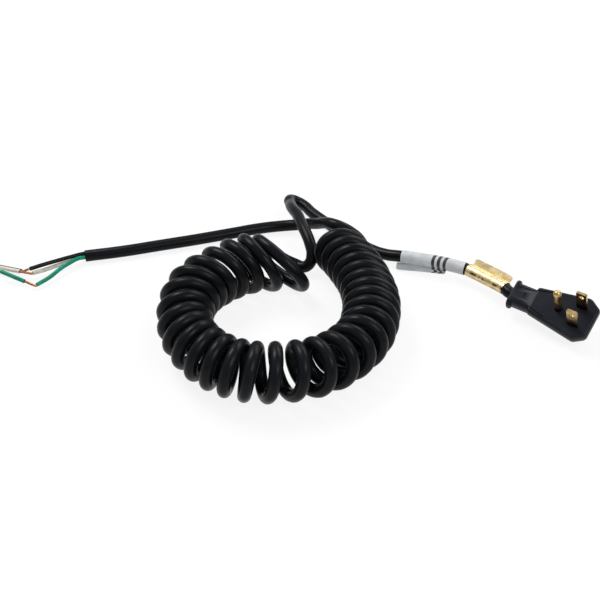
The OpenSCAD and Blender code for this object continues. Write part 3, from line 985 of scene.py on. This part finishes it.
def skin(bm, uv, rows, us, vs):
    """Faces between rows of corners; u changes from row to row, v along a row."""
    for low, high, u0, u1 in zip(rows, rows[1:], us, us[1:]):
        for j, (v0, v1) in enumerate(zip(vs, vs[1:])):
            k = (j + 1) % len(low)
            corners = (low[j], low[k], high[k], high[j])
            mapped_face(bm, uv, corners, ((u0, v0), (u0, v1), (u1, v1), (u1, v0)))


def rim(bm, uv, edge, other, marks):
    """Close the gap between two edges, with one place on the map for each face."""
    for j, mark in enumerate(marks):
        k = (j + 1) % len(edge)
        mapped_face(bm, uv, (edge[j], other[j], other[k], edge[k]), (mark,) * 4)


last_run_start = tail_smooth[-LAST_RUN_POINTS]
print("the tail's last run starts at", tuple(round(v, 3) for v in last_run_start))

# %% Sleeves and flags
SLEEVE_RADIUS = 3.98 * MM
SLEEVE_SIDES = 40
FLAG_STEPS = 6
# how much shorter the flag is at its first and second row, which rounds its corners
CORNER_CUTS = {0: 0.8 * MM, 1: 0.25 * MM}


def sleeve_rows(bm, run, radius):
    """Rings of corners round the cord, one at each point of the run."""
    rows = []
    for k in run:
        _, side, up = tail_frames[k]
        ring = ring_round(tail_smooth[k], side, up, radius, SLEEVE_SIDES)
        rows.append([bm.verts.new(p) for p in ring])
    return rows


def flag_walls(bm, run, thickness, turn, reach, wave):
    """The two walls of a thin flag, as rows of corners from its root outwards."""
    walls = ([], [])
    last = len(run) - 1
    for n, k in enumerate(run):
        _, side, up = tail_frames[k]
        lean = side * math.cos(turn) + up * math.sin(turn)
        normal = up * math.cos(turn) - side * math.sin(turn)
        far = reach[0] + (reach[1] - reach[0]) * n / last
        far -= CORNER_CUTS.get(min(n, last - n), 0)
        row = []
        for m in range(FLAG_STEPS + 1):
            share = m / FLAG_STEPS
            out_by = SLEEVE_RADIUS + thickness / 2 + (far - thickness) * share
            # a shallow wave that runs aslant over the flag and dies out at its root
            curl = wave * math.sin(share * 2.2) * math.sin(n * 0.35 + m * 0.4)
            row.append(tail_smooth[k] + lean * out_by + normal * curl)
        for wall, sign in zip(walls, (1, -1)):
            wall.append([bm.verts.new(p + normal * sign * thickness / 2) for p in row])
    return walls


def wrap(name, slot_name, along, thickness, flag_along, flag_turn, flag_reach, wave):
    """A sleeve round the cord and a flat flag, with a reach at each of its ends."""
    bm = bmesh.new()
    uv = bm.loops.layers.uv.new("wrap")
    run = stretch(*along)
    outside = sleeve_rows(bm, run, SLEEVE_RADIUS + thickness)
    inside = sleeve_rows(bm, run, SLEEVE_RADIUS)
    us = [i / (len(run) - 1) for i in range(len(run))]
    vs = [j / SLEEVE_SIDES for j in range(SLEEVE_SIDES + 1)]
    skin(bm, uv, outside, us, vs)
    skin(bm, uv, inside, us, vs)
    for end, u in ((0, 0), (-1, 1)):
        rim(bm, uv, outside[end], inside[end], [(u, v) for v in vs[:-1]])

    flag_run = stretch(*flag_along)
    front, back = flag_walls(bm, flag_run, thickness, flag_turn, flag_reach, wave)
    us = [(k - run[0]) / (run[-1] - run[0]) for k in flag_run]
    vs = [2 + m / FLAG_STEPS for m in range(FLAG_STEPS + 1)]
    skin(bm, uv, front, us, vs)
    skin(bm, uv, back, us, vs)
    for m, v in ((0, 2), (FLAG_STEPS, 3)):
        front_edge, back_edge = [row[m] for row in front], [row[m] for row in back]
        rim(bm, uv, front_edge, back_edge, [(u, v) for u in us[:-1]])
    for end in (0, -1):
        rim(bm, uv, front[end], back[end], [(us[end], 2.5)] * FLAG_STEPS)

    made = mesh_object(name, bm, "cord", slot_name)
    crease_at(made, 45)
    return made


label = wrap(
    "film_label", "label_film", along=(-104, -62.5), thickness=0.28 * MM,
    flag_along=(-107, -74), flag_turn=math.radians(-50),
    flag_reach=(5.2 * MM, 3.0 * MM), wave=0.35 * MM,
)
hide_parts("cable_label")
foil = wrap(
    "gold_tag", "foil", along=(-60.5, -31), thickness=0.22 * MM,
    flag_along=(-59.5, -31), flag_turn=math.radians(135),
    flag_reach=(4.9 * MM, 4.7 * MM), wave=0.06 * MM,
)
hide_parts("foil_tag")
print("label faces:", len(label.data.polygons), "tag faces:", len(foil.data.polygons))

# %% [markdown]
# ## Bands, painted dark reflections and painted shade
# The label's film is matt white with a faint grey cast, and three dark bands are
# printed across it near its plug end. On its map a band is a narrow range of u,
# bent a little with v. The foil's dark streaks are painted reflections, and the one
# beside the flag's root is the flag's painted shadow. They are ranges of v in the
# same way, broken up by noise, and they take away the metal's shine as well as its
# colour. The brass has painted shade and a painted reflection of the black moulding
# at the roots of the pins: it is bright at their tips and dark where they leave the
# moulding. Each of the three is a mask that mixes one more colour over the finish.

# %% Helpers that paint part of a finish
def wrap_map(tree):
    """Where a point lies on a wrap: u along the cord, and v round it."""
    place = tree.nodes.new("ShaderNodeUVMap")
    place.uv_map = "wrap"
    split = tree.nodes.new("ShaderNodeSeparateXYZ")
    feed(tree, split.inputs[0], place.outputs["UV"])
    return split.outputs["X"], split.outputs["Y"]


def band_mask(tree, value, middle, half, soft, strength=1.0):
    """A mask with soft edges where the value is within half of the middle."""
    far = math_node(tree, "ABSOLUTE", math_node(tree, "SUBTRACT", value, middle))
    return range_node(tree, far, half - soft, half + soft, strength, 0.0)


def strongest(tree, masks):
    """At each point, the largest of several masks."""
    made = masks[0]
    for mask in masks[1:]:
        made = math_node(tree, "MAXIMUM", made, mask)
    return made


def paint_over(slot_name, mask, colour):
    """Mix a colour over what a finish already has, where the mask is 1."""
    tree = FINISHES[slot_name].node_tree
    socket = tree.nodes["Principled BSDF"].inputs["Base Color"]
    plain_colour = socket.links[0].from_socket
    feed(tree, socket, mix_colour(tree, mask, plain_colour, colour))


print("finishes to paint on:", "label_film", "foil", "blade_metal")

# %% Bands on the label
BAND_MIDDLES, BAND_HALF, BAND_SOFT = (0.53, 0.62, 0.715), 0.025, 0.004
BAND_BEND, BAND_TOP = 0.03, 0.1
tree = FINISHES["label_film"].node_tree
u, v = wrap_map(tree)
around = math_node(tree, "MULTIPLY", math_node(tree, "SUBTRACT", v, BAND_TOP), math.tau)
bend = math_node(tree, "MULTIPLY", math_node(tree, "COSINE", around), BAND_BEND)
along = math_node(tree, "ADD", u, bend)
bands = [band_mask(tree, along, middle, BAND_HALF, BAND_SOFT) for middle in BAND_MIDDLES]
paint_over("label_film", strongest(tree, bands), (0.02, 0.02, 0.022))
print("bands on the label:", len(bands))

# %% Painted dark reflections and a painted shadow along the foil
# painted dark reflections, and at 0.295 the flag's painted shadow beside its root:
# middle of each streak round the sleeve, half its width, and how dark it is
PAINTED_DARK_STREAKS = ((0.065, 0.034, 1.0), (0.295, 0.012, 0.9), (-0.04, 0.014, 0.7))
WANDER = 0.05
BETWEEN_SLEEVE_AND_FLAG = 1.5
tree = FINISHES["foil"].node_tree
_, v = wrap_map(tree)
where = object_place(tree)
crumple = math_node(tree, "SUBTRACT", noise_node(tree, where, 420, 3), 0.5)
around = math_node(tree, "ADD", v, math_node(tree, "MULTIPLY", crumple, WANDER))
painted_streak_masks = []
for streak_middle, half, darkness in PAINTED_DARK_STREAKS:
    # shifted so that the streak is at 0.5, away from where the map starts again
    shifted = math_node(tree, "FRACT", math_node(tree, "ADD", around, 0.5 - streak_middle))
    painted_streak_masks.append(band_mask(tree, shifted, 0.5, half, half / 2, darkness))
on_sleeve = math_node(tree, "LESS_THAN", v, BETWEEN_SLEEVE_AND_FLAG)
patchy = range_node(tree, noise_node(tree, where, 260), 0.38, 0.56, 0.3, 1.0)
painted_streak_mask = math_node(tree, "MULTIPLY", strongest(tree, painted_streak_masks), on_sleeve)
painted_streak_mask = math_node(tree, "MULTIPLY", painted_streak_mask, patchy)
# the painted reflections and the painted shadow darken the foil's colour and take its shine
# away
paint_over("foil", painted_streak_mask, (0.05, 0.025, 0.01))
shine = math_node(tree, "MULTIPLY", math_node(tree, "SUBTRACT", 1.0, painted_streak_mask), FOIL_METAL)
feed(tree, tree.nodes["Principled BSDF"].inputs["Metallic"], shine)
print("streaks on the foil:", len(painted_streak_masks))

# %% Painted shade at the roots of the pins
# the brass is painted darker near the moulding's face: painted shade and a painted reflection
# of the black moulding
ROOT_SHADE_FROM, ROOT_SHADE_TO = 1 * MM, 9 * MM
pins_way = (on_plug(0, 0, 1) - on_plug(0, 0, 0)).normalized()
face_height = on_plug(0, 0, 0).dot(pins_way)
tree = FINISHES["blade_metal"].node_tree
height = tree.nodes.new("ShaderNodeVectorMath")
height.operation = "DOT_PRODUCT"
height.inputs[1].default_value = pins_way
feed(tree, height.inputs[0], object_place(tree))
dark_at, bright_at = face_height + ROOT_SHADE_FROM, face_height + ROOT_SHADE_TO
painted_root_shade = range_node(tree, height.outputs["Value"], dark_at, bright_at, 1.0, 0.0)
paint_over("blade_metal", painted_root_shade, (0.06, 0.03, 0.02))
print("tarnish reaches", ROOT_SHADE_TO, "m up the pins")

# %% [markdown]
# ## Pieces that keep their CAD shape
# The blades, the earth pin and everything inside the plug are already right in
# the CAD model. They keep their meshes and get a finish, by the slot that the
# record names for them.

# %% Dress the CAD nodes
KEPT = {
    "line_blade": "blade_metal", "neutral_blade": "blade_metal", "ground_pin": "blade_metal",
    "blade_carrier": "carrier_plastic",
    "line_wire": "black_core", "neutral_wire": "white_core", "ground_wire": "green_core",
    "line_wire_end": "copper", "neutral_wire_end": "copper", "ground_wire_end": "copper",
}
for node_name, slot_name in KEPT.items():
    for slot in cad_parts[node_name].material_slots:
        slot.material = FINISHES[slot_name]
print("kept CAD nodes:", len(KEPT))


bpy.context.view_layer.update()
